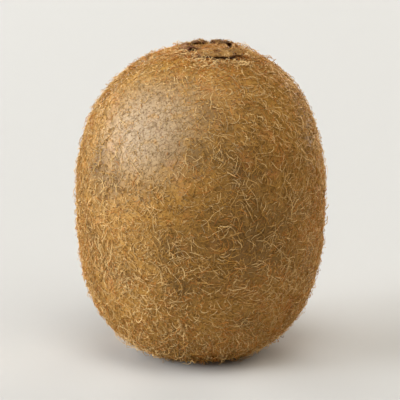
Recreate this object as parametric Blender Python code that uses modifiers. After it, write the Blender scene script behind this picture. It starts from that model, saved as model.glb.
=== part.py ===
"""A whole kiwi fruit that stands on its blossom end, with its stem scar and five dried sepals.

Metres, +Z up. The origin is the centre of the flat spot that the fruit stands on.
"""

import math

import bmesh
import bpy
from mathutils import Vector

# Driving dimensions, in metres
BODY_WIDTH_X = 0.0515  # widest across
BODY_WIDTH_Y = 0.0495  # a kiwi is slightly oval in section
TOP_HALF = 0.0322  # from the widest level up to the top of the dome
BOTTOM_HALF = 0.0336  # from the widest level down to the dome's full depth, before the flat spot
TOP_POWER = 2.35  # 2 is an egg's ellipse, higher gives squarer shoulders
BOTTOM_POWER = 2.65
FLAT_SPOT_RADIUS = 0.0095  # the blossom end is pressed flat where the fruit stands
LEAN = 0.0010  # how far the dome's top leans to +X
LUMP_HEIGHT = 0.00012  # the body's slow unevenness, either side of true
STEM_CENTRE = Vector((0.0021, 0.0, 0.0))  # the stem end sits beside the axis
DIMPLE_DEPTH = 0.0006  # the skin dips softly towards the stem end
DIMPLE_RADIUS = 0.0065
SEAT_RADIUS = 0.0041  # the hollow that the stem scar sits in
SEAT_DEPTH = 0.0007  # under the dimple's floor
GAP = 0.0003  # between touching pieces
SCAR_RADIUS = SEAT_RADIUS - GAP
SCAR_RISE = 0.00045  # the scar's rim over the dimple's floor
SCAR_DISH_DEPTH = 0.0004
SEPAL_THICKNESS = 0.0005
SEPAL_RING_RADIUS = 0.0051  # from the stem's centre to where a sepal has its full width
SEPAL_NARROWING = 0.35  # share of its width that a sepal has lost at its tip
SEPAL_CRINKLE = 0.00010  # how far drying has buckled it, either side
SEPAL_SAG = 0.00012  # how far its tip's corners hang under the middle

BODY_SEGMENTS = 60
BODY_RINGS = 40
SCAR_STEPS = 40
SEPAL_CELLS = 6

# A sepal's section is a quadratic curve through the radius from the stem's centre and the level
# over the dome's top. Standing sepals rise and curl in over the scar, spread ones arch outwards.
STANDING_ROOT = Vector((0.00510, -0.00028))
SPREAD_ROOT = Vector((0.00445, -0.00010))
FRONT_ROOT = Vector((0.00490, -0.00008))

# Each sepal's direction from the stem's centre in degrees, its width, and its section's root,
# bend and tip
SEPALS = [
    (126, 0.0056, STANDING_ROOT, Vector((0.0065, 0.00070)), Vector((0.0036, 0.00052))),
    (54, 0.0054, STANDING_ROOT, Vector((0.0065, 0.00063)), Vector((0.0037, 0.00048))),
    (-16, 0.0050, STANDING_ROOT, Vector((0.0062, 0.00085)), Vector((0.0040, 0.00060))),
    (-84, 0.0060, FRONT_ROOT, Vector((0.0064, 0.00100)), Vector((0.0080, -0.00030))),
    (198, 0.0054, SPREAD_ROOT, Vector((0.0052, 0.00080)), Vector((0.0061, -0.00010))),
]


def clear_scene():
    for thing in list(bpy.data.objects):
        bpy.data.objects.remove(thing)


def new_collection(name):
    collection = bpy.data.collections.new(name)
    bpy.context.scene.collection.children.link(collection)
    return collection


def material(name, colour, roughness):
    """A plain dielectric finish, with its linear colour."""
    finish = bpy.data.materials.new(name)
    finish.use_nodes = True
    shader = finish.node_tree.nodes["Principled BSDF"]
    shader.inputs["Base Color"].default_value = (*colour, 1.0)
    shader.inputs["Roughness"].default_value = roughness
    shader.inputs["Metallic"].default_value = 0.0
    return finish


def add_object(name, builder, collection, finish=None, smooth=True):
    """An object made from a bmesh that this call uses up."""
    bmesh.ops.recalc_face_normals(builder, faces=builder.faces)
    mesh = bpy.data.meshes.new(name)
    builder.to_mesh(mesh)
    builder.free()
    if smooth:
        mesh.shade_smooth()
    thing = bpy.data.objects.new(name, mesh)
    collection.objects.link(thing)
    if finish:
        mesh.materials.append(finish)
    return thing


def flat_spot_level():
    """How far under the widest level the body's section is the flat spot."""
    share = (FLAT_SPOT_RADIUS / (BODY_WIDTH_X / 2)) ** BOTTOM_POWER
    return BOTTOM_HALF * (1 - share) ** (1 / BOTTOM_POWER)


MIDDLE = flat_spot_level()  # the widest level's height over the ground
DOME_TOP = MIDDLE + TOP_HALF
DIMPLE_FLOOR = DOME_TOP - DIMPLE_DEPTH


def lump_height(direction):
    """Two slow waves round the body, the second one winding upwards. They fade at its ends."""
    bearing = math.atan2(direction.y, direction.x)
    waves = math.sin(2 * bearing + 0.7) + 0.7 * math.sin(3 * bearing + 4 * direction.z + 2.1)
    return LUMP_HEIGHT * (1 - direction.z**2) * waves


def body_point(direction):
    """Where a ray from the body's middle meets its skin: a superellipsoid that leans at the top."""
    if direction.z > 0:
        half, power = TOP_HALF, TOP_POWER
    else:
        half, power = BOTTOM_HALF, BOTTOM_POWER
    across = math.hypot(direction.x / (BODY_WIDTH_X / 2), direction.y / (BODY_WIDTH_Y / 2))
    along = abs(direction.z) / half
    reach = (across**power + along**power) ** (-1 / power)
    point = direction * (reach + lump_height(direction))
    rise = max(point.z, 0) / TOP_HALF
    point.x += LEAN * rise**TOP_POWER
    if direction.z > 0:
        from_stem = math.hypot(point.x - STEM_CENTRE.x, point.y - STEM_CENTRE.y)
        point.z -= DIMPLE_DEPTH * math.exp(-((from_stem / DIMPLE_RADIUS) ** 2))
    point.z += MIDDLE
    return point


def make_body(collection, finish):
    builder = bmesh.new()
    bmesh.ops.create_uvsphere(
        builder, u_segments=BODY_SEGMENTS, v_segments=BODY_RINGS, radius=1.0
    )
    for vertex in builder.verts:
        vertex.co = body_point(vertex.co.normalized())
    cut = bmesh.ops.bisect_plane(
        builder,
        geom=builder.verts[:] + builder.edges[:] + builder.faces[:],
        plane_co=(0, 0, 0),
        plane_no=(0, 0, -1),
        clear_outer=True,
    )
    rim = [part for part in cut["geom_cut"] if isinstance(part, bmesh.types.BMEdge)]
    bmesh.ops.holes_fill(builder, edges=rim)
    for edge in rim:
        edge.smooth = False
    return add_object("fruit", builder, collection, finish)


def make_seat_cutter(collection):
    """The round hollow at the stem end."""
    builder = bmesh.new()
    bmesh.ops.create_cone(
        builder,
        cap_ends=True,
        segments=SCAR_STEPS,
        radius1=SEAT_RADIUS,
        radius2=SEAT_RADIUS,
        depth=4 * SEAT_DEPTH,
    )
    centre = STEM_CENTRE + Vector((0, 0, DIMPLE_FLOOR + SEAT_DEPTH))
    bmesh.ops.translate(builder, verts=builder.verts, vec=centre)
    cutter = add_object("seat_cutter", builder, collection, smooth=False)
    cutter.hide_render = True
    cutter.display_type = "WIRE"
    return cutter


def cut_with(body, cutter):
    boolean = body.modifiers.new("seat", "BOOLEAN")
    boolean.operation = "DIFFERENCE"
    boolean.solver = "EXACT"
    boolean.object = cutter


def make_scar(collection, finish):
    """The corky stub: a turned disc with a rounded rim and a dished top."""
    foot = DIMPLE_FLOOR - SEAT_DEPTH + GAP
    rim = DIMPLE_FLOOR + SCAR_RISE
    thickness = rim - foot
    profile = [
        (0.0, rim - SCAR_DISH_DEPTH),
        (0.30, rim - 0.95 * SCAR_DISH_DEPTH),
        (0.55, rim - 0.60 * SCAR_DISH_DEPTH),
        (0.72, rim - 0.10 * SCAR_DISH_DEPTH),
        (0.86, rim),
        (0.96, rim - 0.12 * thickness),
        (1.0, rim - 0.35 * thickness),
        (1.0, foot),
        (0.0, foot),
    ]
    builder = bmesh.new()
    points = [builder.verts.new((share * SCAR_RADIUS, 0, level)) for share, level in profile]
    for above, below in zip(points, points[1:]):
        builder.edges.new((above, below))
    scar = add_object("stem_scar", builder, collection, finish)
    turned = scar.modifiers.new("turned", "SCREW")
    turned.steps = SCAR_STEPS
    turned.render_steps = SCAR_STEPS
    turned.use_merge_vertices = True
    turned.merge_threshold = 0.00001
    turned.use_smooth_shade = True
    scar.location = STEM_CENTRE
    return scar


def sepal_point(along, across, shape):
    """A point of a dried sepal's sheet, with +X outwards from the stem and Z over the dome's top.

    along runs from 0 at the root to 1 at the tip, and across from -1 to 1.
    """
    degrees, width, root, bend, tip = shape
    section = root * (1 - along) ** 2 + bend * 2 * along * (1 - along) + tip * along**2
    half_width = width / 2 * (1 - SEPAL_NARROWING * along**2)
    swing = across * half_width / SEPAL_RING_RADIUS
    wave = math.sin(4.5 * across + 5.0 * along + math.radians(degrees))
    crinkle = SEPAL_CRINKLE * along * wave
    radius = section.x + crinkle
    level = section.y + crinkle - SEPAL_SAG * along * across**2
    return Vector((radius * math.cos(swing), radius * math.sin(swing), level))


def make_sepal(number, shape, collection, finish):
    """One dried sepal: a thick shrivelled scale, one of the ring round the scar."""
    builder = bmesh.new()
    bmesh.ops.create_grid(builder, x_segments=SEPAL_CELLS, y_segments=SEPAL_CELLS, size=1.0)
    for vertex in builder.verts:
        vertex.co = sepal_point((vertex.co.x + 1) / 2, vertex.co.y, shape)
    sepal = add_object(f"dried_sepal_{number}", builder, collection, finish)
    shell = sepal.modifiers.new("thickness", "SOLIDIFY")
    shell.thickness = SEPAL_THICKNESS
    shell.offset = 0.0
    shell.use_even_offset = False
    rounded = sepal.modifiers.new("rounded", "SUBSURF")
    rounded.levels = 1
    rounded.render_levels = 1
    sepal.location = STEM_CENTRE + Vector((0, 0, DOME_TOP))
    sepal.rotation_euler.z = math.radians(shape[0])
    return sepal


def main():
    clear_scene()
    kiwi = new_collection("kiwi_fruit")
    cutters = new_collection("cutters")
    skin = material("fuzzy_skin", (0.30, 0.17, 0.06), 0.75)
    cork = material("stem_cork", (0.28, 0.15, 0.07), 0.85)
    husk = material("dried_sepal", (0.09, 0.05, 0.025), 0.8)

    body = make_body(kiwi, skin)
    cut_with(body, make_seat_cutter(cutters))
    make_scar(kiwi, cork)
    for number, shape in enumerate(SEPALS, start=1):
        make_sepal(number, shape, kiwi, husk)


main()
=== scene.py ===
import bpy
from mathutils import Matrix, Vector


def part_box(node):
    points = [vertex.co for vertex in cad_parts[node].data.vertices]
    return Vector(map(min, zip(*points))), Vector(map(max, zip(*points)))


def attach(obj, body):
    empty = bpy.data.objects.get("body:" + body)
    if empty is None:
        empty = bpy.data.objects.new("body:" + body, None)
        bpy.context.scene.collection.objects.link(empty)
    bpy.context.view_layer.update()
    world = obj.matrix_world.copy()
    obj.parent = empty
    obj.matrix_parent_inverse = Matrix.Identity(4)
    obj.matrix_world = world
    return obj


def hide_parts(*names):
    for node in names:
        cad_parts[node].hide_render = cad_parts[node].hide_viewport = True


bl_info = {
    "name": "Fuzzy Kiwi Fruit",
    "version": (1, 0, 0),
    "blender": (4, 5, 0),
    "location": "3D View > Sidebar > Kiwi",
    "description": "Dresses a measured kiwi fruit in its skin, fuzz, stem scar and dried sepals",
    "category": "Add Mesh",
}

import math

import bpy
import numpy as np
from mathutils import Vector
from mathutils.bvhtree import BVHTree

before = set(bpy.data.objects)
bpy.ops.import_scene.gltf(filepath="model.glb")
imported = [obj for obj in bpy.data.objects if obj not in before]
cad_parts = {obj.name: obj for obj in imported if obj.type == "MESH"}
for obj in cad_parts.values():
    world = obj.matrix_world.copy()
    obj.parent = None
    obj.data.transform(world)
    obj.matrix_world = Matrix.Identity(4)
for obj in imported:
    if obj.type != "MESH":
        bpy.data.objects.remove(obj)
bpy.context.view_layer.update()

MM = 0.001
BODY = "root"

# The fruit's own measures, read from the frame
FRUIT_LOW, FRUIT_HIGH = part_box("fruit")
FRUIT_SIZE = FRUIT_HIGH - FRUIT_LOW
FRUIT_MIDDLE = (FRUIT_LOW + FRUIT_HIGH) / 2
SCAR_LOW, SCAR_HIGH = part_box("stem_scar")
STEM = Vector(((SCAR_LOW.x + SCAR_HIGH.x) / 2, (SCAR_LOW.y + SCAR_HIGH.y) / 2, SCAR_HIGH.z))
SCAR_RADIUS = (SCAR_HIGH.x - SCAR_LOW.x) / 2

DOME_TOP = FRUIT_HIGH.z + 0.35 * MM  # about where the dome would end without its dimple

# The shapes of a dried sepal, each by its stations from root to tip: the distance from the stem's
# centre, the level over the dome's top and the half width, all in mm
CURLED_IN = [
    (5.3, -0.6, 2.2),
    (5.7, -0.1, 2.4),
    (5.5, 0.35, 2.3),
    (4.6, 0.70, 2.0),
    (3.5, 0.75, 1.6),
    (2.5, 0.45, 1.1),
]
KNOBBED = [
    (5.0, -0.6, 2.0),
    (5.5, -0.1, 2.0),
    (5.4, 0.35, 1.6),
    (5.1, 0.75, 1.0),
    (4.7, 1.05, 0.7),
    (4.2, 1.00, 0.55),
]
ROLLED_OUT = [
    (4.9, -0.6, 2.6),
    (5.6, -0.1, 3.2),
    (6.5, 0.30, 3.9),
    (7.6, 0.20, 4.3),
    (8.5, -0.25, 4.1),
    (8.9, -0.95, 3.7),
]
TURNED_DOWN = [
    (4.0, -0.5, 2.2),
    (4.3, 0.2, 2.5),
    (4.8, 0.65, 2.6),
    (5.4, 0.65, 2.6),
    (5.9, 0.25, 2.4),
    (6.2, -0.4, 2.0),
]

# The dried sepals: each one's bearing round the stem in degrees, anticlockwise from the right, its
# finish and its shape. The two at the back and the one at the right stand up and curl in, the front
# one rolls out over the skin and the left one turns down.
SEPALS = [
    (126, "dark_husk", CURLED_IN),
    (62, "dark_husk", CURLED_IN),
    (-14, "tan_husk", KNOBBED),
    (-74, "olive_husk", ROLLED_OUT),
    (198, "pink_husk", TURNED_DOWN),
]

# The fuzz has rubbed off round this place on the skin: a share of the fruit's half size each way.
# Its pale skin and strands are partly a painted highlight, where the upper left key light's sheen falls
WORN_AND_HIGHLIGHT_PLACE = FRUIT_MIDDLE + Vector((-0.34, -0.66, 0.55)) * FRUIT_SIZE / 2
WORN_RADIUS = 11.5 * MM

# Right of the middle the felt is thin and the long wisps are many, and the skin there is darkened as painted
# shade of the side turned from the key light
THIN_SHADED_PLACE = FRUIT_MIDDLE + Vector((0.36, -0.92, -0.08)) * FRUIT_SIZE / 2
THIN_RADIUS = 14 * MM

# How the fuzz is combed: a bearing round the fruit in degrees from the front (positive to the
# right), a share of its height, and the angle that strands lie at there, in degrees from level
COMB_GUIDES = [
    (0, 0.55, 38),
    (0, 0.35, 42),
    (-30, 0.55, 40),
    (-40, 0.35, 28),
    (-60, 0.50, 22),
    (-85, 0.50, -60),
    (-75, 0.25, -55),
    (-45, 0.15, -30),
    (30, 0.50, 50),
    (60, 0.50, 75),
    (90, 0.50, 85),
    (60, 0.22, 60),
    (0, 0.10, -65),
    (0, 0.85, -60),
    (-45, 0.75, 50),
    (-70, 0.80, -110),
    (70, 0.80, -60),
    (180, 0.50, 100),
    (135, 0.30, 60),
    (-135, 0.60, 125),
    (180, 0.85, -80),
    (180, 0.15, -90),
]
COMB_REACH = 11 * MM

# Where the fuzz is paler, darker or warmer than elsewhere: the same bearing and height, the reach
# in mm, how far the tone is shifted and the share of ginger strands added. The darker patch right of
# the middle (bearing 20) is painted shade, and the paler, gingery ones at the right edge (bearings 58
# and 80) are a painted rim light.
TONE_AND_LIGHT_PATCHES = [
    (20, 0.48, 14, -0.10, 0.00),
    (10, 0.10, 13, 0.08, 0.24),
    (58, 0.25, 14, 0.13, 0.12),
    (80, 0.50, 13, 0.08, 0.20),
    (22, 0.97, 10, 0.18, 0.12),
    (45, 0.76, 11, -0.09, 0.04),
    (-75, 0.35, 12, 0.02, 0.06),
    (-33, 0.32, 10, 0.15, 0.00),
]

# Where the strands' tones stand on the fuzz's colour ramp
NATURAL_TONES = (0.03, 0.69)  # deep brown through tan to gold
# Worn flat and pale, partly as a painted highlight on the worn patch
BLEACHED_HIGHLIGHT_TONES = (0.74, 0.82)
GINGER_TONES = (0.88, 0.97)

STEM_END_RADIUS = 5.8 * MM  # no fuzz grows inside the ring of sepals
STEM_RING = 2.2 * MM  # how far the stem curls reach outside the sepals
SEPAL_SPREAD = 32  # degrees either side of a sepal's bearing that it keeps clear of fuzz
SEPAL_CLEARANCE = 0.5 * MM  # between a sepal's tip and the nearest fuzz
MOST_FACES = 190000  # of one piece, counted as triangles

# The sizes of the skin's patterns on a real kiwi
BLOTCH = 9 * MM
WARM_BLOTCH = 5 * MM
SCUFF = 2.4 * MM
CRACK_SPACING = 1.7 * MM
PORE_SPACING = 1.1 * MM
GRAIN = 0.5 * MM
FLECK = 0.42 * MM
# The dark ring is a painted shadow on the skin under the sepals' rim
STEM_SHADOW_RADIUS = 10.2 * MM  # the brown ring round the stem end

# The sizes of the stem end's patterns, which are the widths of its torn fibres and dry ribs
HUSK_PATCH = 1.6 * MM
HUSK_RIB = 0.45 * MM
CORK_FIBRE = 0.8 * MM

# The torn stub's top, ring by ring from its rim inwards: width and rise, in mm
STUB_RINGS = [(0.25, 0.15), (0.7, 0.05), (0.8, -0.10), (0.7, -0.05), (0.6, 0.03)]


# ---------------------------------------------------------------------------------------------
# Small helpers
# ---------------------------------------------------------------------------------------------


def linear(colour):
    """An sRGB hex colour as linear red, green and blue."""
    shares = [int(colour[place : place + 2], 16) / 255 for place in (1, 3, 5)]
    return tuple(s / 12.92 if s <= 0.04045 else ((s + 0.055) / 1.055) ** 2.4 for s in shares)


def opaque(colour):
    return (*colour, 1.0)


def deselect_all():
    if bpy.context.object and bpy.context.object.mode != "OBJECT":
        bpy.ops.object.mode_set(mode="OBJECT")
    bpy.ops.object.select_all(action="DESELECT")


def make_active(piece):
    deselect_all()
    piece.select_set(True)
    bpy.context.view_layer.objects.active = piece


def apply_modifier(piece, kind, **settings):
    """Adds a modifier, sets it and applies it at once."""
    make_active(piece)
    modifier = piece.modifiers.new(kind.lower(), kind)
    for name, value in settings.items():
        setattr(modifier, name, value)
    bpy.ops.object.modifier_apply(modifier=modifier.name)


def edit_with(piece, kind, chosen):
    """Enters edit mode with just those vertices or faces selected for which chosen() is true."""
    make_active(piece)
    bpy.ops.object.mode_set(mode="EDIT")
    bpy.ops.mesh.select_mode(type=kind)
    bpy.ops.mesh.select_all(action="DESELECT")
    bpy.ops.object.mode_set(mode="OBJECT")
    parts = piece.data.vertices if kind == "VERT" else piece.data.polygons
    for part in parts:
        part.select = chosen(part)
    bpy.ops.object.mode_set(mode="EDIT")


def settle(piece):
    """Puts a piece's place into its mesh, so that its object sits at the origin."""
    make_active(piece)
    bpy.ops.object.transform_apply(location=True, rotation=True, scale=True)


def noise_texture(name, size, depth=2):
    texture = bpy.data.textures.new(name, "CLOUDS")
    texture.noise_scale = size
    texture.noise_depth = depth
    texture.noise_basis = "BLENDER_ORIGINAL"
    return texture


def roughen(piece, name, size, height, depth=2):
    """Pushes a mesh in and out by a cloudy noise of that feature size."""
    apply_modifier(
        piece,
        "DISPLACE",
        texture=noise_texture(name, size, depth),
        texture_coords="LOCAL",
        strength=2 * height,
        mid_level=0.5,
    )


def mesh_points(mesh):
    points = np.empty(len(mesh.vertices) * 3)
    mesh.vertices.foreach_get("co", points)
    return points.reshape(-1, 3)


def unit(vectors):
    return vectors / np.linalg.norm(vectors, axis=-1, keepdims=True)


def add_node(tree, kind, links=None, values=None, **settings):
    """Adds one node. links maps its inputs to the sockets that feed them, values to plain values."""
    made = tree.nodes.new(kind)
    for name, value in settings.items():
        setattr(made, name, value)
    for name, value in (values or {}).items():
        made.inputs[name].default_value = value
    for name, socket in (links or {}).items():
        tree.links.new(socket, made.inputs[name])
    return made


def new_material(name, **constants):
    """A material with a Principled shader whose own sockets hold the constants."""
    material = bpy.data.materials.new(name)
    material.use_nodes = True
    shader = material.node_tree.nodes["Principled BSDF"]
    for socket, value in constants.items():
        shader.inputs[socket.replace("_", " ")].default_value = value
    return material, material.node_tree, shader


def colour_ramp(tree, factor, stops):
    """A ramp through (place, linear colour) stops."""
    ramp = add_node(tree, "ShaderNodeValToRGB", {"Fac": factor})
    elements = ramp.color_ramp.elements
    for place, colour in stops[1:-1]:
        elements.new(place).color = opaque(colour)
    elements[0].position, elements[-1].position = stops[0][0], stops[-1][0]
    elements[0].color, elements[-1].color = opaque(stops[0][1]), opaque(stops[-1][1])
    return ramp.outputs["Color"]


def mix_colours(tree, factor, first, second):
    """Mixes two colours, each a socket or a plain linear colour, and gives the socket."""
    mix = add_node(tree, "ShaderNodeMix", data_type="RGBA")
    tree.links.new(factor, mix.inputs[0])
    for place, colour in ((6, first), (7, second)):
        if isinstance(colour, bpy.types.NodeSocket):
            tree.links.new(colour, mix.inputs[place])
        else:
            mix.inputs[place].default_value = opaque(colour)
    return mix.outputs[2]


def object_place(tree):
    return add_node(tree, "ShaderNodeTexCoord").outputs["Object"]


def noise(tree, place, size, detail=2.0, distortion=0.0):
    """A cloudy noise node with features of that size, in metres."""
    return add_node(
        tree,
        "ShaderNodeTexNoise",
        {"Vector": place},
        {"Scale": 1 / size, "Detail": detail, "Distortion": distortion},
    )


def fade(tree, value, start, end, most=1.0, slope="LINEAR"):
    """0 where the value is at start, rising to most where it is at end, and level past both."""
    made = add_node(
        tree,
        "ShaderNodeMapRange",
        {"Value": value},
        {"From Min": start, "From Max": end, "To Max": most},
        interpolation_type=slope,
    )
    return made.outputs["Result"]


def distance_from(tree, place, point):
    """How far a socket's place is from a fixed point, in metres."""
    made = add_node(tree, "ShaderNodeVectorMath", {0: place}, {1: point}, operation="DISTANCE")
    return made.outputs["Value"]


def combine(tree, operation, first, second):
    """Two numbers put together by a sum such as MULTIPLY or MAXIMUM."""
    made = add_node(tree, "ShaderNodeMath", {0: first, 1: second}, operation=operation)
    return made.outputs["Value"]


def level_of(tree, vector):
    """The Z part of a vector socket."""
    return add_node(tree, "ShaderNodeSeparateXYZ", {"Vector": vector}).outputs["Z"]


def add_bump(tree, shader, height, strength, distance):
    """Raises the finish by a height socket, over that distance in metres."""
    bump = add_node(
        tree, "ShaderNodeBump", {"Height": height}, {"Strength": strength, "Distance": distance}
    )
    tree.links.new(bump.outputs["Normal"], shader.inputs["Normal"])


def finish_piece(piece, material):
    """Gives a finished piece its material and its body."""
    piece.data.materials.clear()
    piece.data.materials.append(material)
    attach(piece, BODY)
    return piece


# ---------------------------------------------------------------------------------------------
# Settings that a user would change
# ---------------------------------------------------------------------------------------------


class KiwiSkinSettings(bpy.types.PropertyGroup):
    pebble_size: bpy.props.FloatProperty(
        name="Pebble size", description="Size of the skin's bumps", default=1.3 * MM, unit="LENGTH"
    )
    pebble_height: bpy.props.FloatProperty(
        name="Pebble height", description="Height of the bumps", default=0.05 * MM, unit="LENGTH"
    )
    brown: bpy.props.FloatVectorProperty(
        name="Brown", description="The skin's main colour", subtype="COLOR", default=linear("#ac7d30")
    )
    umber: bpy.props.FloatVectorProperty(
        name="Umber", description="Darker blotches", subtype="COLOR", default=linear("#6f4f1c")
    )
    rust: bpy.props.FloatVectorProperty(
        name="Rust", description="Warm blotches", subtype="COLOR", default=linear("#b27130")
    )
    fleck: bpy.props.FloatVectorProperty(
        name="Flecks", description="Small dark flecks", subtype="COLOR", default=linear("#624114")
    )
    # Painted shadow: the dark ring on the skin under the sepals' rim round the stem
    painted_stem_shadow: bpy.props.FloatVectorProperty(
        name="Crust", description="Round the stem", subtype="COLOR", default=linear("#6a3812")
    )
    # Partly a painted highlight: the worn patch's pale greyish colour stands where the key light's sheen
    # falls
    pale: bpy.props.FloatVectorProperty(
        name="Worn skin", description="Where fuzz has rubbed off", subtype="COLOR", default=linear("#a88f6e")
    )


class KiwiFuzzSettings(bpy.types.PropertyGroup):
    short_count: bpy.props.IntProperty(
        name="Short strands", description="How many short strands", default=58000
    )
    fibre_count: bpy.props.IntProperty(
        name="Stem fibres", description="How many fibres fray the stem end", default=850
    )
    curl_count: bpy.props.IntProperty(
        name="Stem curls", description="How many curls ring the sepals", default=640
    )
    bent_count: bpy.props.IntProperty(
        name="Bent strands", description="How many longer curved strands", default=21000
    )
    long_count: bpy.props.IntProperty(
        name="Wisps", description="How many long wavy wisps", default=4400
    )
    short_length: bpy.props.FloatProperty(
        name="Short length", description="Mean length of short fuzz", default=0.65 * MM, unit="LENGTH"
    )
    bent_length: bpy.props.FloatProperty(
        name="Bent length", description="Mean length of the curved strands", default=1.25 * MM, unit="LENGTH"
    )
    long_length: bpy.props.FloatProperty(
        name="Wisp length", description="Mean length of the wisps", default=2.6 * MM, unit="LENGTH"
    )
    thickness: bpy.props.FloatProperty(
        name="Thickness", description="A strand's thickness at its root", default=0.15 * MM, unit="LENGTH"
    )
    shade: bpy.props.FloatVectorProperty(
        name="Deep strand", description="The darkest strands", subtype="COLOR", default=linear("#6d4c18")
    )
    tan: bpy.props.FloatVectorProperty(
        name="Tan strand", description="The commonest strands", subtype="COLOR", default=linear("#c99544")
    )
    gold: bpy.props.FloatVectorProperty(
        name="Gold strand", description="The palest strands", subtype="COLOR", default=linear("#efca8c")
    )
    # Partly a painted highlight too: strands on the worn patch, where the key light's sheen falls
    bleached: bpy.props.FloatVectorProperty(
        name="Worn strand", description="Strands worn flat", subtype="COLOR", default=linear("#b89b6f")
    )
    ginger: bpy.props.FloatVectorProperty(
        name="Ginger strand", description="The warmest strands", subtype="COLOR", default=linear("#ca843b")
    )


class KiwiStemSettings(bpy.types.PropertyGroup):
    cork: bpy.props.FloatVectorProperty(
        name="Cork", description="The scar's corky tissue", subtype="COLOR", default=linear("#b3875a")
    )
    cork_crack: bpy.props.FloatVectorProperty(
        name="Cork cracks", description="The dark of its cracks", subtype="COLOR", default=linear("#6b4020")
    )
    husk: bpy.props.FloatVectorProperty(
        name="Husk", description="A dried sepal's brown", subtype="COLOR", default=linear("#6a5038")
    )
    husk_olive: bpy.props.FloatVectorProperty(
        name="Olive husk", description="The front sepal's brown", subtype="COLOR", default=linear("#a37c46")
    )
    husk_pink: bpy.props.FloatVectorProperty(
        name="Pinkish husk", description="The left sepal's brown", subtype="COLOR", default=linear("#7d563f")
    )
    # Also paints the shade in the stem end's hollows, on the sepals' undersides and under their tucked tips
    husk_dark_and_shade: bpy.props.FloatVectorProperty(
        name="Husk folds", description="The dark of its folds", subtype="COLOR", default=linear("#54301a")
    )
    husk_pale: bpy.props.FloatVectorProperty(
        name="Husk edge", description="Its pale dry edge", subtype="COLOR", default=linear("#cba37c")
    )


class KiwiStageSettings(bpy.types.PropertyGroup):
    floor: bpy.props.FloatVectorProperty(
        name="Floor", description="The floor's colour", subtype="COLOR", default=linear("#bebcb7")
    )
    backdrop: bpy.props.FloatVectorProperty(
        name="Backdrop", description="The far backdrop's colour", subtype="COLOR", default=linear("#e6e3dd")
    )
    studio: bpy.props.FloatVectorProperty(
        name="Studio", description="The dim studio overhead", subtype="COLOR", default=linear("#38352f")
    )
    brightness: bpy.props.FloatProperty(
        name="Brightness", description="Strength of all the lights", default=1.0
    )


# ---------------------------------------------------------------------------------------------
# Skin
# ---------------------------------------------------------------------------------------------


def skin_ground(tree, place, settings):
    """The skin's own brown with darker blotches and rusty ones, and painted shade right of the middle where
    the felt is thin.

    Gives the colour, and the blotches for other patterns to follow.
    """
    blotches = noise(tree, place, BLOTCH, detail=4.0).outputs["Fac"]
    warm = noise(tree, place, WARM_BLOTCH, detail=3.0).outputs["Fac"]
    colour = colour_ramp(tree, blotches, [(0.28, settings.umber), (0.58, settings.brown)])
    colour = mix_colours(tree, fade(tree, warm, 0.56, 0.70, most=0.6), colour, settings.rust)
    # Painted shade: the skin darkens towards umber round the thin place, on the side turned from the key
    # light
    from_thin = distance_from(tree, place, THIN_SHADED_PLACE)
    deep = fade(tree, from_thin, 1.3 * THIN_RADIUS, 0.2 * THIN_RADIUS, 0.85, "SMOOTHSTEP")
    return mix_colours(tree, deep, colour, settings.umber), blotches


def worn_share(tree, place, blotches):
    """How worn the skin is, from 0 to 0.85, which also places the pale colour that is partly a painted
    highlight. The blotches make the patch's edge ragged.
    """
    ragged = add_node(
        tree,
        "ShaderNodeMath",
        {0: blotches, 2: distance_from(tree, place, WORN_AND_HIGHLIGHT_PLACE)},
        {1: -7 * MM},
        operation="MULTIPLY_ADD",
    )
    return fade(tree, ragged.outputs["Value"], WORN_RADIUS, 0.0, 0.85, "SMOOTHSTEP")


def crack_share(tree, place, wander):
    """Fine drying cracks between cells of skin, bent by a colour socket so that none is straight."""
    bent = add_node(
        tree,
        "ShaderNodeVectorMath",
        {0: wander, 2: place},
        {1: (2.5 * MM, 2.5 * MM, 2.5 * MM)},
        operation="MULTIPLY_ADD",
    )
    cells = add_node(
        tree,
        "ShaderNodeTexVoronoi",
        {"Vector": bent.outputs["Vector"]},
        {"Scale": 1 / CRACK_SPACING},
        feature="DISTANCE_TO_EDGE",
    )
    return fade(tree, cells.outputs["Distance"], 0.07, 0.02, most=0.6)


def skin_material(settings):
    """Kiwi skin: a thin leathery peel, olive brown and mottled, that is matt where it is furry.
    Where the fuzz has worn off it is paler and pinker, with a faint waxy sheen, scuffs and fine
    cracks; the pale greyish colour there is partly a painted highlight. Dark pores and flecks show
    all over. Painted shade darkens it right of the middle, and a painted shadow rings the stem end."""
    material, tree, shader = new_material("kiwi_peel", Roughness=0.6, IOR=1.45, Specular_IOR_Level=0.5)
    place = object_place(tree)
    colour, blotches = skin_ground(tree, place, settings)
    worn = worn_share(tree, place, blotches)
    # Paler on the worn patch: partly real wear, partly a painted highlight
    colour = mix_colours(tree, worn, colour, settings.pale)
    patchy = noise(tree, place, SCUFF, detail=3.0)
    scuffs = fade(tree, patchy.outputs["Fac"], 0.58, 0.68, most=0.5)
    colour = mix_colours(tree, scuffs, colour, settings.brown)
    cracks = combine(tree, "MULTIPLY", crack_share(tree, place, patchy.outputs["Color"]), worn)
    colour = mix_colours(tree, cracks, colour, settings.fleck)
    # Painted shadow under the sepals' rim: a dark ring on the skin round the stem end
    from_stem = distance_from(tree, place, STEM)
    stem_shadow_share = fade(tree, from_stem, STEM_SHADOW_RADIUS, STEM_SHADOW_RADIUS - 1.4 * MM, most=0.9)
    colour = mix_colours(tree, stem_shadow_share, colour, settings.painted_stem_shadow)
    pores = add_node(tree, "ShaderNodeTexVoronoi", {"Vector": place}, {"Scale": 1 / PORE_SPACING})
    dots = fade(tree, pores.outputs["Distance"], 0.22, 0.10, most=0.55)
    colour = mix_colours(tree, dots, colour, settings.umber)
    streaks = noise(tree, place, FLECK, detail=1.0, distortion=0.8).outputs["Fac"]
    flecks = fade(tree, streaks, 0.58, 0.66, most=0.7)
    colour = mix_colours(tree, flecks, colour, settings.fleck)
    tree.links.new(colour, shader.inputs["Base Color"])
    add_bump(tree, shader, noise(tree, place, GRAIN).outputs["Fac"], 0.5, 0.12 * MM)
    return material


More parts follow.
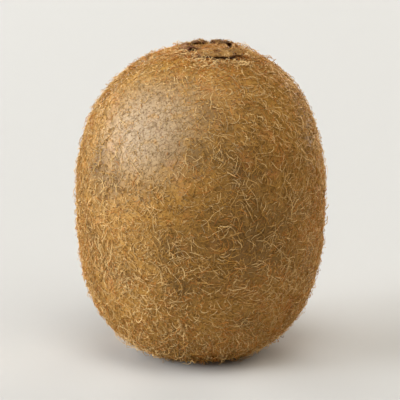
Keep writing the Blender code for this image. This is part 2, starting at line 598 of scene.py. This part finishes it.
class KIWI_OT_skin(bpy.types.Operator):
    """Wraps a fine, softly pebbled skin round the fruit's solid"""

    bl_idname = "kiwi.skin"
    bl_label = "Skin"

    def execute(self, context):
        settings = context.scene.kiwi_skin
        deselect_all()
        bpy.ops.mesh.primitive_cube_add(size=1, location=FRUIT_MIDDLE, scale=FRUIT_SIZE * 1.3)
        skin = context.object
        skin.name = skin.data.name = "skin"
        settle(skin)
        apply_modifier(skin, "SUBSURF", levels=4, render_levels=4)
        apply_modifier(
            skin,
            "SHRINKWRAP",
            target=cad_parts["fruit"],
            wrap_method="PROJECT",
            use_negative_direction=True,
            use_positive_direction=True,
        )
        apply_modifier(skin, "SUBSURF", levels=3, render_levels=3)
        roughen(skin, "slow_swells", 6 * MM, 0.06 * MM)
        roughen(skin, "pebbles", settings.pebble_size, settings.pebble_height)
        points = mesh_points(skin.data)
        points[:, 2] = np.maximum(points[:, 2], 0.0)
        skin.data.vertices.foreach_set("co", points.ravel())
        make_active(skin)
        bpy.ops.object.shade_smooth()
        finish_piece(skin, skin_material(settings))
        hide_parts("fruit")
        return {"FINISHED"}


# ---------------------------------------------------------------------------------------------
# Stem end
# ---------------------------------------------------------------------------------------------


def hollow_shade_share(tree, place):
    """Painted shade in the hollows between the stub and the sepals, from 0 to 0.6 by how deep a place lies.
    """
    return fade(tree, level_of(tree, place), DOME_TOP, DOME_TOP - 0.8 * MM, most=0.6)


def underside_shade_share(tree):
    """Painted shade on surfaces that face down: 0.6 where a surface faces down, 0 where it faces level or
    up.
    """
    facing = add_node(tree, "ShaderNodeNewGeometry").outputs["Normal"]
    return fade(tree, level_of(tree, facing), 0.0, -0.6, most=0.6)


def tip_share(tree, place, from_stem):
    """0.8 at a sepal's tip, where it is tucked in over the stub (painted shade of the crease under it) or
    stands highest, and 0 elsewhere.
    """
    tucked = fade(tree, from_stem, 3.7 * MM, 2.7 * MM, most=0.8)
    high = fade(tree, level_of(tree, place), DOME_TOP + 0.8 * MM, DOME_TOP + 1.1 * MM, most=0.8)
    return combine(tree, "MAXIMUM", tucked, high)


def husk_material(name, settings, main, pale_share):
    """A dried sepal: papery brown tissue, dead and matt, mottled with dark patches. Fine ribs run through
    it, and dust and dry hairs turn patches of it pale. Painted shade darkens it low in the hollows by
    the stub, on its underside and under its tucked tip, and its highest tips are dark too."""
    material, tree, shader = new_material(name, Roughness=0.9, IOR=1.4, Specular_IOR_Level=0.2)
    place = object_place(tree)
    patches = noise(tree, place, HUSK_PATCH, detail=4.0).outputs["Fac"]
    ribs = noise(tree, place, HUSK_RIB, distortion=1.5).outputs["Fac"]
    colour = colour_ramp(tree, patches, [(0.38, settings.husk_dark_and_shade), (0.56, main)])
    colour = mix_colours(tree, fade(tree, ribs, 0.52, 0.70, pale_share), colour, settings.husk_pale)
    from_stem = distance_from(tree, place, STEM)
    inside = fade(tree, from_stem, 7.2 * MM, 6.2 * MM)
    # Painted shade: low in the hollows near the stub, on undersides and under tucked tips
    hollow = combine(tree, "MULTIPLY", hollow_shade_share(tree, place), inside)
    for share in (hollow, underside_shade_share(tree), tip_share(tree, place, from_stem)):
        colour = mix_colours(tree, share, colour, settings.husk_dark_and_shade)
    tree.links.new(colour, shader.inputs["Base Color"])
    add_bump(tree, shader, ribs, 0.6, 0.15 * MM)
    return material


def cork_material(settings):
    """The stub's cork: dry tan fibres torn off level, dead and matt, with dark cracks between them."""
    material, tree, shader = new_material("stub_cork", Roughness=0.9, IOR=1.4, Specular_IOR_Level=0.2)
    place = object_place(tree)
    fibres = noise(tree, place, CORK_FIBRE, detail=5.0, distortion=1.0).outputs["Fac"]
    colour = colour_ramp(tree, fibres, [(0.36, settings.cork_crack), (0.52, settings.cork)])
    # Painted shade where the cork lies low in the hollows round the sepals
    colour = mix_colours(tree, hollow_shade_share(tree, place), colour, settings.husk_dark_and_shade)
    tree.links.new(colour, shader.inputs["Base Color"])
    add_bump(tree, shader, fibres, 0.8, 0.25 * MM)
    return material


def grow_sheet(name, stations, columns):
    """A sheet with one row of points a station, each row drawn out to its own place and width.

    Each station is (distance from the stem's centre, level over the dome's top, half width), in
    mm. The sheet's width lies along X and its way out along -Y.
    """
    deselect_all()
    bpy.ops.mesh.primitive_grid_add(x_subdivisions=columns, y_subdivisions=len(stations) - 1, size=2)
    sheet = bpy.context.object
    sheet.name = sheet.data.name = name
    for row, (out, level, half_width) in enumerate(reversed(stations)):
        edit_with(sheet, "VERT", lambda vertex: vertex.index // (columns + 1) == row)
        bpy.ops.transform.resize(value=(half_width * MM, 0, 0), center_override=(0, 0, 0))
        bpy.ops.transform.translate(value=(0, -out * MM, level * MM))
        bpy.ops.object.mode_set(mode="OBJECT")
    return sheet


def crumple(piece, name, size, height):
    """Pushes a mesh every way by a coloured noise of that feature size."""
    texture = noise_texture(name, size)
    texture.cloud_type = "COLOR"
    apply_modifier(
        piece,
        "DISPLACE",
        texture=texture,
        texture_coords="LOCAL",
        direction="RGB_TO_XYZ",
        strength=2 * height,
        mid_level=0.5,
    )


def make_sepal(number, degrees, stations, material):
    """One dried sepal: a thick sheet, wrapped round the stem, crumpled as it dried."""
    name = f"sepal_{number}"
    sheet = grow_sheet(name, stations, columns=9)
    ring_radius = sum(station[0] for station in stations) / len(stations) * MM
    sheet.location.y = ring_radius
    settle(sheet)
    widest = 2 * max(station[2] for station in stations) * MM
    apply_modifier(
        sheet, "SIMPLE_DEFORM", deform_method="BEND", deform_axis="Z", angle=widest / ring_radius
    )
    sheet.location = (0, -ring_radius, 0)
    settle(sheet)
    sheet.rotation_euler.z = math.radians(degrees + 90)
    sheet.location = (STEM.x, STEM.y, DOME_TOP)
    settle(sheet)
    apply_modifier(sheet, "SUBSURF", levels=1, render_levels=1)
    crumple(sheet, f"{name}_creases", 1.5 * MM, 0.5 * MM)
    apply_modifier(sheet, "SOLIDIFY", thickness=0.42 * MM, offset=0, use_even_offset=False)
    apply_modifier(sheet, "SUBSURF", levels=1, render_levels=1)
    crumple(sheet, f"{name}_wrinkles", 0.6 * MM, 0.22 * MM)
    apply_modifier(sheet, "SUBSURF", levels=1, render_levels=1)
    roughen(sheet, f"{name}_fibres", 0.25 * MM, 0.06 * MM)
    bpy.ops.object.mode_set(mode="EDIT")
    bpy.ops.mesh.select_all(action="SELECT")
    bpy.ops.mesh.normals_make_consistent(inside=False)
    bpy.ops.object.mode_set(mode="OBJECT")
    bpy.ops.object.shade_smooth()
    finish_piece(sheet, material)
    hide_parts(f"dried_sepal_{number}")


class KIWI_OT_stub(bpy.types.Operator):
    """Builds the corky stub where the stalk came off"""

    bl_idname = "kiwi.stub"
    bl_label = "Stem stub"

    def execute(self, context):
        settings = context.scene.kiwi_stem
        deselect_all()
        foot = SCAR_LOW.z
        height = SCAR_HIGH.z - foot
        bpy.ops.mesh.primitive_cylinder_add(
            vertices=32,
            radius=SCAR_RADIUS,
            depth=height,
            location=(STEM.x, STEM.y, foot + height / 2),
            end_fill_type="NGON",
        )
        stub = context.object
        stub.name = stub.data.name = "stem_stub"
        settle(stub)
        edit_with(stub, "FACE", lambda face: face.normal.z > 0.5)
        for width, rise in STUB_RINGS:
            bpy.ops.mesh.inset(thickness=width * MM)
            bpy.ops.transform.translate(value=(0, 0, rise * MM))
        bpy.ops.mesh.poke()
        bpy.ops.object.mode_set(mode="OBJECT")
        apply_modifier(stub, "SUBSURF", levels=2, render_levels=2)
        crumple(stub, "stub_lumps", 1.6 * MM, 0.25 * MM)
        apply_modifier(stub, "SUBSURF", levels=2, render_levels=2)
        roughen(stub, "stub_fibres", 0.4 * MM, 0.10 * MM)
        bpy.ops.object.shade_smooth()
        finish_piece(stub, cork_material(settings))
        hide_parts("stem_scar")
        return {"FINISHED"}


class KIWI_OT_sepals(bpy.types.Operator):
    """Builds the ring of five dried sepals round the stub"""

    bl_idname = "kiwi.sepals"
    bl_label = "Dried sepals"

    def execute(self, context):
        settings = context.scene.kiwi_stem
        tones = {  # each finish's main colour, and how pale its dusty patches are
            "dark_husk": (settings.husk, 0.20),
            "olive_husk": (settings.husk_olive, 0.55),
            "pink_husk": (settings.husk_pink, 0.35),
            "tan_husk": (settings.cork, 0.50),
        }
        materials = {name: husk_material(name, settings, *tone) for name, tone in tones.items()}
        for number, (degrees, finish, stations) in enumerate(SEPALS, start=1):
            make_sepal(number, degrees, stations, materials[finish])
        return {"FINISHED"}


# ---------------------------------------------------------------------------------------------
# Fuzz
# ---------------------------------------------------------------------------------------------


def strand_template(segments):
    """One strand along +X: a three-sided hair, a unit long in each segment, that ends in a point."""
    deselect_all()
    bpy.ops.mesh.primitive_circle_add(
        vertices=3, radius=1, fill_type="NGON", rotation=(0, math.pi / 2, 0)
    )
    strand = bpy.context.object
    settle(strand)
    bpy.ops.object.mode_set(mode="EDIT")
    for _ in range(segments):
        bpy.ops.mesh.extrude_region_move(TRANSFORM_OT_translate={"value": (1, 0, 0)})
    bpy.ops.mesh.merge(type="CENTER")
    bpy.ops.mesh.select_all(action="SELECT")
    bpy.ops.mesh.normals_make_consistent(inside=False)
    bpy.ops.object.mode_set(mode="OBJECT")
    return strand


def copy_strand(name, template, paths, sides, lifts, radii, tones):
    """One mesh of many copies of the strand, each bent along its own path.

    Each copy's map holds its tone across and the way from root to tip upwards, so that the
    finish can colour every strand on its own.
    """
    mesh = template.data
    corners = mesh_points(mesh)
    station = np.rint(corners[:, 0]).astype(int)
    count = len(paths)
    steps = paths.shape[1] - 1
    taper = radii[:, None] * (1 - 0.55 * np.arange(steps + 1) / steps)[None, :]
    width = taper[:, station, None]
    points = (
        paths[:, station]
        + sides[:, station] * corners[None, :, 1, None] * width
        + lifts[:, station] * corners[None, :, 2, None] * width
    )
    points[..., 2] = np.maximum(points[..., 2], 0.0)
    face_corners = np.empty(len(mesh.loops), int)
    mesh.loops.foreach_get("vertex_index", face_corners)
    face_sizes = np.array([len(face.vertices) for face in mesh.polygons])
    offsets = np.arange(count)[:, None] * len(corners)
    made = bpy.data.meshes.new(name)
    made.vertices.add(points.shape[0] * points.shape[1])
    made.vertices.foreach_set("co", points.ravel())
    made.loops.add(count * len(face_corners))
    made.loops.foreach_set("vertex_index", (face_corners[None, :] + offsets).ravel())
    sizes = np.tile(face_sizes, count)
    made.polygons.add(len(sizes))
    made.polygons.foreach_set("loop_start", np.concatenate(([0], np.cumsum(sizes)[:-1])))
    made.update(calc_edges=True)
    made.polygons.foreach_set("use_smooth", np.ones(len(sizes), bool))
    chart = made.uv_layers.new(name="OFBake")
    # Each corner is moved a little across the map, so that no face of it is a bare line
    spread = np.where(corners[:, 1] > 0.9, 0.0, np.sign(corners[:, 1]) * 0.5 + corners[:, 2] * 0.3)
    across = np.clip(tones[:, None] + spread[None, face_corners] / 128, 0.002, 0.998)
    along = np.broadcast_to((station[face_corners] + 0.2) / (steps + 0.4), across.shape)
    chart.data.foreach_set("uv", np.stack([across, along], -1).ravel())
    piece = bpy.data.objects.new(name, made)
    bpy.context.scene.collection.objects.link(piece)
    return piece


def soft_field(points, size, rng, waves=12):
    """A smooth random field, mostly from -1 to 1: plane waves in random directions."""
    directions = unit(rng.normal(size=(waves, 3)))
    phases = rng.uniform(0, 2 * math.pi, waves)
    return np.sin(points @ directions.T * (2 * math.pi / size) + phases).sum(1) / math.sqrt(waves / 2)


def nearness(points, place, reach):
    """1 at the place, falling softly to 0 past the reach."""
    return np.exp(-((np.linalg.norm(points - np.array(place), axis=1) / reach) ** 2))


def pick_roots(surface, rng, count, density):
    """Random points on a mesh with their normals. density(points, normals) is from 0 to 1."""
    mesh = surface.data
    mesh.calc_loop_triangles()
    corners = np.empty(len(mesh.loop_triangles) * 3, int)
    mesh.loop_triangles.foreach_get("vertices", corners)
    triangles = mesh_points(mesh)[corners.reshape(-1, 3)]
    crosses = np.cross(triangles[:, 1] - triangles[:, 0], triangles[:, 2] - triangles[:, 0])
    areas = np.linalg.norm(crosses, axis=1)
    shares = areas * density(triangles.mean(1), unit(crosses))
    chosen = rng.choice(len(shares), size=count, p=shares / shares.sum())
    first, second = np.sqrt(rng.random(count)), rng.random(count)
    weights = np.stack([1 - first, first * (1 - second), first * second], 1)
    points = (triangles[chosen] * weights[:, :, None]).sum(1)
    return points, unit(crosses[chosen])


def snap(tree, points):
    """The nearest places on the skin, and the skin's normals there."""
    found = [tree.find_nearest(point)[:2] for point in points.tolist()]
    places = np.array([place for place, _ in found])
    return places, np.array([normal for _, normal in found])


def local_axes(normals):
    """East and up along the skin. Up runs towards the stem. The small sums hold at the poles."""
    towards_top = np.array([0.0, 0.0, 1.0]) + 1e-6 - normals * (normals[:, 2:3] + 1e-6)
    up = unit(towards_top + 1e-9)
    return np.cross(up, normals), up


def guide_place(bearing, height):
    """A place on the skin by its bearing from the front and its share of the fruit's height."""
    turn = math.radians(bearing)
    half_width = math.sqrt(max(1 - (2 * height - 1) ** 2, 0.0)) * FRUIT_SIZE / 2
    return (
        FRUIT_MIDDLE.x + half_width.x * math.sin(turn),
        FRUIT_MIDDLE.y - half_width.y * math.cos(turn),
        FRUIT_LOW.z + height * FRUIT_SIZE.z,
    )


def combed_angle(points):
    """The angle from level at which the guides lay the fuzz, in radians."""
    weights, east, up = 1e-9, 0.0, 1e-9
    for bearing, height, degrees in COMB_GUIDES:
        weight = nearness(points, guide_place(bearing, height), COMB_REACH) + 1e-6
        east = east + weight * math.cos(math.radians(degrees))
        up = up + weight * math.sin(math.radians(degrees))
    return np.arctan2(up, east)


def lay_strands(tree, roots, normals, headings, lengths, turns, heights):
    """Paths over the skin, one row a strand, with the side and lift directions at each station.

    turns holds each strand's turn at each station in radians, and heights how far each station
    stands off the skin.
    """
    stations = heights.shape[1]
    east, up = local_axes(normals)
    way = east * np.cos(headings)[:, None] + up * np.sin(headings)[:, None]
    step = (lengths / (stations - 1))[:, None]
    here = roots
    places, uprights = [roots], [normals]
    for station in range(1, stations):
        turn = turns[:, station, None]
        way = way * np.cos(turn) + np.cross(uprights[-1], way) * np.sin(turn)
        here, normal = snap(tree, here + way * step)
        way = unit(way - normal * (way * normal).sum(1, keepdims=True))
        places.append(here)
        uprights.append(normal)
    paths = np.stack(places, 1)
    uprights = np.stack(uprights, 1)
    paths = paths + uprights * heights[:, :, None]
    along = unit(np.gradient(paths, axis=1))
    sides = unit(np.cross(along, uprights))
    return paths, sides, np.cross(sides, along)


def fuzz_material(settings):
    """Kiwi fuzz: dry, stiff plant hairs. Dead hollow cells make them matt, from umber through tan
    to pale gold, with some ginger ones, and each is darker at its root. A real hair is about
    0.05 mm thick and clings to others in a tuft, and here each tuft is one strand about 0.15 mm
    thick, so that it shows."""
    material, tree, shader = new_material("kiwi_fuzz", Roughness=0.65, IOR=1.5, Specular_IOR_Level=0.22)
    chart = add_node(tree, "ShaderNodeUVMap", uv_map="OFBake")
    split = add_node(tree, "ShaderNodeSeparateXYZ", {"Vector": chart.outputs["UV"]})
    tone = colour_ramp(
        tree,
        split.outputs["X"],
        [
            (0.02, settings.shade),
            (0.40, settings.tan),
            (0.70, settings.gold),
            (0.73, settings.bleached),
            (0.84, settings.bleached),
            (0.87, settings.ginger),
            (0.99, settings.ginger),
        ],
    )
    root = fade(tree, split.outputs["Y"], 0.6, 0.0, most=0.35)
    colour = mix_colours(tree, root, tone, settings.shade)
    tree.links.new(colour, shader.inputs["Base Color"])
    return material


def strand_tones(rng, points, worn, tone, scatter, ginger_share):
    """Where each strand stands on the colour ramp.

    The tones scatter round the mean one, shifted by slow and by small random patches and by
    TONE_AND_LIGHT_PATCHES, some of which paint shade and rim light. Strands on worn skin are bleached,
    partly as a painted highlight, and ginger_share more are ginger by the stem.
    """
    count = len(points)
    patch = soft_field(points, 14 * MM, rng) * 0.05 + soft_field(points, 3 * MM, rng) * 0.05
    ginger = 0.04 + ginger_share * nearness(points, STEM, 12 * MM)
    # Some patches paint light: shade right of the middle and a rim light at the right edge
    for bearing, height, reach, shift, share in TONE_AND_LIGHT_PATCHES:
        near = nearness(points, guide_place(bearing, height), reach * MM)
        patch = patch + shift * near
        ginger = ginger + share * near
    tones = np.clip(rng.normal(tone, scatter, count) + patch, *NATURAL_TONES)
    # Bleached strands on the worn patch: partly real wear, partly a painted highlight
    bleached = rng.random(count) < 0.85 * worn
    tones = np.where(bleached, rng.uniform(*BLEACHED_HIGHLIGHT_TONES, count), tones)
    ginger = ginger + 0.10 * np.clip(soft_field(points, 11 * MM, rng) - 0.6, 0, 1)
    return np.where(rng.random(count) < ginger, rng.uniform(*GINGER_TONES, count), tones)


def bands(count, most):
    """Splits strands into groups of about equal size, none over most."""
    return np.array_split(np.arange(count), math.ceil(count / most))


def round_stem(points):
    """How far points are from the stem's axis, and the clear radius that the sepals need there."""
    out = points[:, :2] - np.array(STEM[:2])
    bearings = np.degrees(np.arctan2(out[:, 1], out[:, 0]))
    clear = np.full(len(points), STEM_END_RADIUS)
    for degrees, _, stations in SEPALS:
        off = np.abs((bearings - degrees + 180) % 360 - 180)
        reach = max(station[0] for station in stations) * MM + SEPAL_CLEARANCE
        clear = np.where(off < SEPAL_SPREAD, np.maximum(clear, reach), clear)
    distance = np.where(points[:, 2] > FRUIT_MIDDLE.z, np.linalg.norm(out, axis=1), np.inf)
    return distance, clear


def fuzz_density(worn_share, thin_share):
    """A density function for fuzz on the skin: none at the stem end or on the flat spot, and with
    those shares of it missing where it is worn and where it is thin. A share under 0 adds to it."""

    def density(points, normals):
        distance, clear = round_stem(points)
        bare = (distance < clear) | (points[:, 2] < 0.1 * MM)
        worn = worn_share * nearness(points, WORN_AND_HIGHLIGHT_PLACE, WORN_RADIUS)
        thin = thin_share * nearness(points, THIN_SHADED_PLACE, THIN_RADIUS)
        return np.where(bare, 0.0, (1 - worn) * (1 - thin))

    return density


def upper_side(points, normals):
    """A density function that grows nothing underneath."""
    return np.clip(normals[:, 2] + 0.3, 0, 1)


def grow(name, material, surface, density, count, segments, length, spread, lift, width, **style):
    """Grows one kind of strand over a surface, in pieces small enough to handle.

    length, lift and width are in metres, and spread is how uneven the lengths are. style holds
    curl and stray, in radians, the mean tone and its scatter, the share of ginger strands near
    the stem, the slot, which is not used, and the seed.
    """
    rng = np.random.default_rng(style["seed"])
    tree = BVHTree.FromObject(surface, bpy.context.evaluated_depsgraph_get())
    roots, normals = pick_roots(surface, rng, count, density)
    order = np.argsort(roots[:, 2])
    roots, normals = roots[order], normals[order]
    worn = nearness(roots, WORN_AND_HIGHLIGHT_PLACE, WORN_RADIUS)
    stem = nearness(roots, STEM, 9 * MM)
    headings = combed_angle(roots) + 0.7 * soft_field(roots, 13 * MM, rng)
    headings = headings + rng.normal(0, style["stray"], count)
    # Strands are short and flat where the skin is worn, and long and upright by the stem
    lengths = length * rng.lognormal(0, spread, count) * (1 - 0.5 * worn) * (1 + 0.35 * stem)
    way = np.linspace(0, 1, segments + 1)[None, :]
    stations = np.arange(segments + 1)[None, :]
    phase = rng.uniform(0, 2 * math.pi, (count, 1))
    wave = np.sin(phase + rng.uniform(0.6, 1.5, (count, 1)) * stations)
    kinks = rng.normal(0, 0.6, (count, segments + 1))
    turns = style["curl"] * (rng.normal(0, 1, (count, 1)) + 1.6 * wave + kinks) / segments
    # Most strands lie nearly flat and a few stand up, more of them round the foot
    low = np.clip(1 - roots[:, 2] / (8 * MM), 0, 1)
    upright = np.minimum(rng.gamma(1.5, 0.65, (count, 1)), 3.2)
    standing = lift * upright * (1 - 0.75 * worn + 0.5 * stem + 0.4 * low)[:, None]
    arch = np.sin(math.pi * way ** rng.uniform(0.6, 1.3, (count, 1)))
    rise = rng.uniform(-0.1, 1.0, (count, 1)) * way
    heights = standing * (0.6 * arch + 0.8 * rise) + 0.2 * width
    heights[:, 0] = -0.2 * width
    radii = width / 2 * rng.uniform(0.7, 1.2, count) * (1 - 0.15 * worn)
    tones = strand_tones(rng, roots, worn, style["tone"], style["scatter"], style["ginger"])
    paths, sides, lifts = lay_strands(tree, roots, normals, headings, lengths, turns, heights)
    template = strand_template(segments)
    faces_each = 6 * segments - 2
    for number, band in enumerate(bands(count, MOST_FACES // faces_each), start=1):
        shape = (paths[band], sides[band], lifts[band], radii[band], tones[band])
        piece = copy_strand(f"{name}_{number}", template, *shape)
        finish_piece(piece, material)
    bpy.data.objects.remove(template)


class KIWI_OT_short_fuzz(bpy.types.Operator):
    """Covers the skin with a felt of short bent fuzz"""

    bl_idname = "kiwi.short_fuzz"
    bl_label = "Short fuzz"

    def execute(self, context):
        settings = context.scene.kiwi_fuzz
        grow(
            "short_fuzz",
            fuzz_material(settings),
            bpy.data.objects["skin"],
            fuzz_density(worn_share=0.55, thin_share=0.60),
            count=settings.short_count,
            segments=2,
            length=settings.short_length,
            spread=0.35,
            lift=0.13 * MM,
            width=0.8 * settings.thickness,
            curl=0.6,
            stray=0.7,
            tone=0.33,
            scatter=0.15,
            ginger=0.50,
            slot="fuzzy_skin",
            seed=11,
        )
        return {"FINISHED"}


class KIWI_OT_bent_fuzz(bpy.types.Operator):
    """Mixes longer curved strands into the felt"""

    bl_idname = "kiwi.bent_fuzz"
    bl_label = "Bent fuzz"

    def execute(self, context):
        settings = context.scene.kiwi_fuzz
        grow(
            "bent_fuzz",
            bpy.data.materials["kiwi_fuzz"],
            bpy.data.objects["skin"],
            fuzz_density(worn_share=0.75, thin_share=0.45),
            count=settings.bent_count,
            segments=4,
            length=settings.bent_length,
            spread=0.35,
            lift=0.35 * MM,
            width=settings.thickness,
            curl=0.9,
            stray=0.6,
            tone=0.48,
            scatter=0.20,
            ginger=0.50,
            slot="fuzzy_skin",
            seed=17,
        )
        return {"FINISHED"}


class KIWI_OT_wisps(bpy.types.Operator):
    """Lays long wavy wisps over the felt"""

    bl_idname = "kiwi.wisps"
    bl_label = "Wisps"

    def execute(self, context):
        settings = context.scene.kiwi_fuzz
        grow(
            "wisps",
            bpy.data.materials["kiwi_fuzz"],
            bpy.data.objects["skin"],
            fuzz_density(worn_share=0.80, thin_share=-0.9),
            count=settings.long_count,
            segments=8,
            length=settings.long_length,
            spread=0.45,
            lift=0.38 * MM,
            width=settings.thickness,
            curl=1.15,
            stray=0.6,
            tone=0.54,
            scatter=0.22,
            ginger=0.50,
            slot="fuzzy_skin",
            seed=23,
        )
        return {"FINISHED"}


def stem_ring(points, normals):
    """A density function for the ring of skin just outside the sepals, where the curls grow."""
    distance, clear = round_stem(points)
    return np.where((distance > clear) & (distance < clear + STEM_RING), 1.0, 0.0)


class KIWI_OT_stem_curls(bpy.types.Operator):
    """Rings the sepals with pale curls that loop over their edge"""

    bl_idname = "kiwi.stem_curls"
    bl_label = "Stem curls"

    def execute(self, context):
        settings = context.scene.kiwi_fuzz
        grow(
            "stem_curls",
            bpy.data.materials["kiwi_fuzz"],
            bpy.data.objects["skin"],
            stem_ring,
            count=settings.curl_count,
            segments=6,
            length=1.7 * MM,
            spread=0.3,
            lift=0.45 * MM,
            width=1.1 * settings.thickness,
            curl=2.4,
            stray=1.2,
            tone=0.60,
            scatter=0.20,
            ginger=0.10,
            slot="fuzzy_skin",
            seed=29,
        )
        return {"FINISHED"}


class KIWI_OT_stem_fibres(bpy.types.Operator):
    """Frays the stub and the dried sepals with fine fibres"""

    bl_idname = "kiwi.stem_fibres"
    bl_label = "Stem fibres"

    def execute(self, context):
        settings = context.scene.kiwi_fuzz
        deselect_all()
        for name in ["stem_stub"] + [f"sepal_{number}" for number in range(1, len(SEPALS) + 1)]:
            bpy.data.objects[name].select_set(True)
        bpy.ops.object.duplicate()
        context.view_layer.objects.active = context.selected_objects[0]
        bpy.ops.object.join()
        under = context.object
        grow(
            "stem_fibres",
            bpy.data.materials["kiwi_fuzz"],
            under,
            upper_side,
            count=settings.fibre_count,
            segments=3,
            length=0.9 * MM,
            spread=0.4,
            lift=0.16 * MM,
            width=0.6 * settings.thickness,
            curl=1.2,
            stray=1.5,
            tone=0.22,
            scatter=0.24,
            ginger=0.15,
            slot="dried_sepal",
            seed=31,
        )
        bpy.data.objects.remove(under)
        return {"FINISHED"}


# ---------------------------------------------------------------------------------------------
# Stage
# ---------------------------------------------------------------------------------------------


# Tints of light: the key from the window side is a little cooler than the fill opposite
COOL = (0.94, 1.0, 1.07)
NEUTRAL = (1.0, 1.0, 1.0)
WARM = (1.08, 1.0, 0.89)
# The lights, each a broad soft one at a distance: its name, the way to it, its strength in W/m2,
# its width in degrees and its tint
SOFTBOXES = [
    ("left_softbox", (-0.95, -0.25, 0.18), 2.6, 28, COOL),
    ("left_high_softbox", (-0.71, -0.32, 0.61), 0.7, 30, COOL),
    ("left_back_softbox", (-0.95, 0.20, 0.25), 2.3, 35, COOL),
    ("top_softbox", (0.0, -0.25, 1.0), 1.0, 30, NEUTRAL),
    ("front_softbox", (0.1, -0.50, 0.85), 0.65, 40, NEUTRAL),
    ("front_right_softbox", (0.50, -0.40, 0.75), 0.85, 50, WARM),
    ("right_back_softbox", (0.55, 0.80, 0.12), 2.3, 25, WARM),
    ("back_softbox", (-0.35, 0.90, 0.20), 1.9, 30, NEUTRAL),
]
HORIZON_TOP = 12  # degrees; the pale backdrop round the stage fades out at this elevation

CAMERA_TILT = 13  # degrees that the camera looks down
CAMERA_DISTANCE = 0.35
CAMERA_AIM = Vector((-0.06 * MM, 0, 32.4 * MM))  # just under the fruit's middle
LENS = 150  # mm, on a sensor 36 mm wide: a long lens that hardly distorts


def studio_world(settings):
    """A pale backdrop round the horizon, in the lit floor's colour, and a dim studio over it."""
    world = bpy.data.worlds.new("studio")
    world.use_nodes = True
    tree = world.node_tree
    background = tree.nodes["Background"]
    way = add_node(tree, "ShaderNodeTexCoord").outputs["Generated"]
    low = math.sin(math.radians(HORIZON_TOP / 2))
    high = math.sin(math.radians(HORIZON_TOP))
    rise = fade(tree, level_of(tree, way), low, high, slope="SMOOTHSTEP")
    colour = mix_colours(tree, rise, settings.backdrop, settings.studio)
    tree.links.new(colour, background.inputs["Color"])
    return world


class KIWI_OT_stage(bpy.types.Operator):
    """Sets the pale floor, the soft lights round it and the camera"""

    bl_idname = "kiwi.stage"
    bl_label = "Stage"

    def execute(self, context):
        settings = context.scene.kiwi_stage
        deselect_all()
        bpy.ops.mesh.primitive_plane_add(size=8)
        floor = context.object
        floor.name = "floor"
        material, tree, shader = new_material("matt_paper", Roughness=0.9)
        shader.inputs["Base Color"].default_value = opaque(settings.floor)
        floor.data.materials.append(material)

        for name, towards, strength, angle, tint in SOFTBOXES:
            bpy.ops.object.light_add(type="SUN")
            softbox = context.object
            softbox.name = name
            softbox.rotation_euler = Vector(towards).to_track_quat("Z", "Y").to_euler()
            softbox.data.energy = strength * settings.brightness
            softbox.data.angle = math.radians(angle)
            softbox.data.color = tint
        context.scene.world = studio_world(settings)
        context.scene.view_settings.view_transform = "Standard"

        tilt = math.radians(CAMERA_TILT)
        towards_camera = Vector((0, -math.cos(tilt), math.sin(tilt)))
        bpy.ops.object.camera_add(location=CAMERA_AIM + towards_camera * CAMERA_DISTANCE)
        camera = context.object
        camera.name = "camera"
        camera.rotation_euler = towards_camera.to_track_quat("Z", "Y").to_euler()
        camera.data.lens = LENS
        camera.data.sensor_width = 36
        camera.data.clip_start = 0.01
        context.scene.camera = camera
        return {"FINISHED"}


# ---------------------------------------------------------------------------------------------
# Panel and registration
# ---------------------------------------------------------------------------------------------

STEPS = [
    "skin",
    "stub",
    "sepals",
    "short_fuzz",
    "bent_fuzz",
    "wisps",
    "stem_curls",
    "stem_fibres",
    "stage",
]


class KIWI_PT_panel(bpy.types.Panel):
    """Lists the steps that dress the fruit"""

    bl_idname = "KIWI_PT_panel"
    bl_label = "Fuzzy Kiwi Fruit"
    bl_space_type = "VIEW_3D"
    bl_region_type = "UI"
    bl_category = "Kiwi"

    def draw(self, context):
        for step in STEPS:
            self.layout.operator(f"kiwi.{step}")


CLASSES = [
    KiwiSkinSettings,
    KiwiFuzzSettings,
    KiwiStemSettings,
    KiwiStageSettings,
    KIWI_OT_skin,
    KIWI_OT_stub,
    KIWI_OT_sepals,
    KIWI_OT_short_fuzz,
    KIWI_OT_bent_fuzz,
    KIWI_OT_wisps,
    KIWI_OT_stem_curls,
    KIWI_OT_stem_fibres,
    KIWI_OT_stage,
    KIWI_PT_panel,
]
SETTINGS = {
    "kiwi_skin": KiwiSkinSettings,
    "kiwi_fuzz": KiwiFuzzSettings,
    "kiwi_stem": KiwiStemSettings,
    "kiwi_stage": KiwiStageSettings,
}


def register():
    for cls in CLASSES:
        bpy.utils.register_class(cls)
    for name, group in SETTINGS.items():
        setattr(bpy.types.Scene, name, bpy.props.PointerProperty(type=group))


def unregister():
    for name in SETTINGS:
        delattr(bpy.types.Scene, name)
    for cls in reversed(CLASSES):
        bpy.utils.unregister_class(cls)


def main():
    register()
    bpy.ops.kiwi.skin()
    bpy.ops.kiwi.stub()
    bpy.ops.kiwi.sepals()
    bpy.ops.kiwi.short_fuzz()
    bpy.ops.kiwi.bent_fuzz()
    bpy.ops.kiwi.wisps()
    bpy.ops.kiwi.stem_curls()
    bpy.ops.kiwi.stem_fibres()
    bpy.ops.kiwi.stage()
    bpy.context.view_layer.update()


if __name__ == "__main__":
    main()
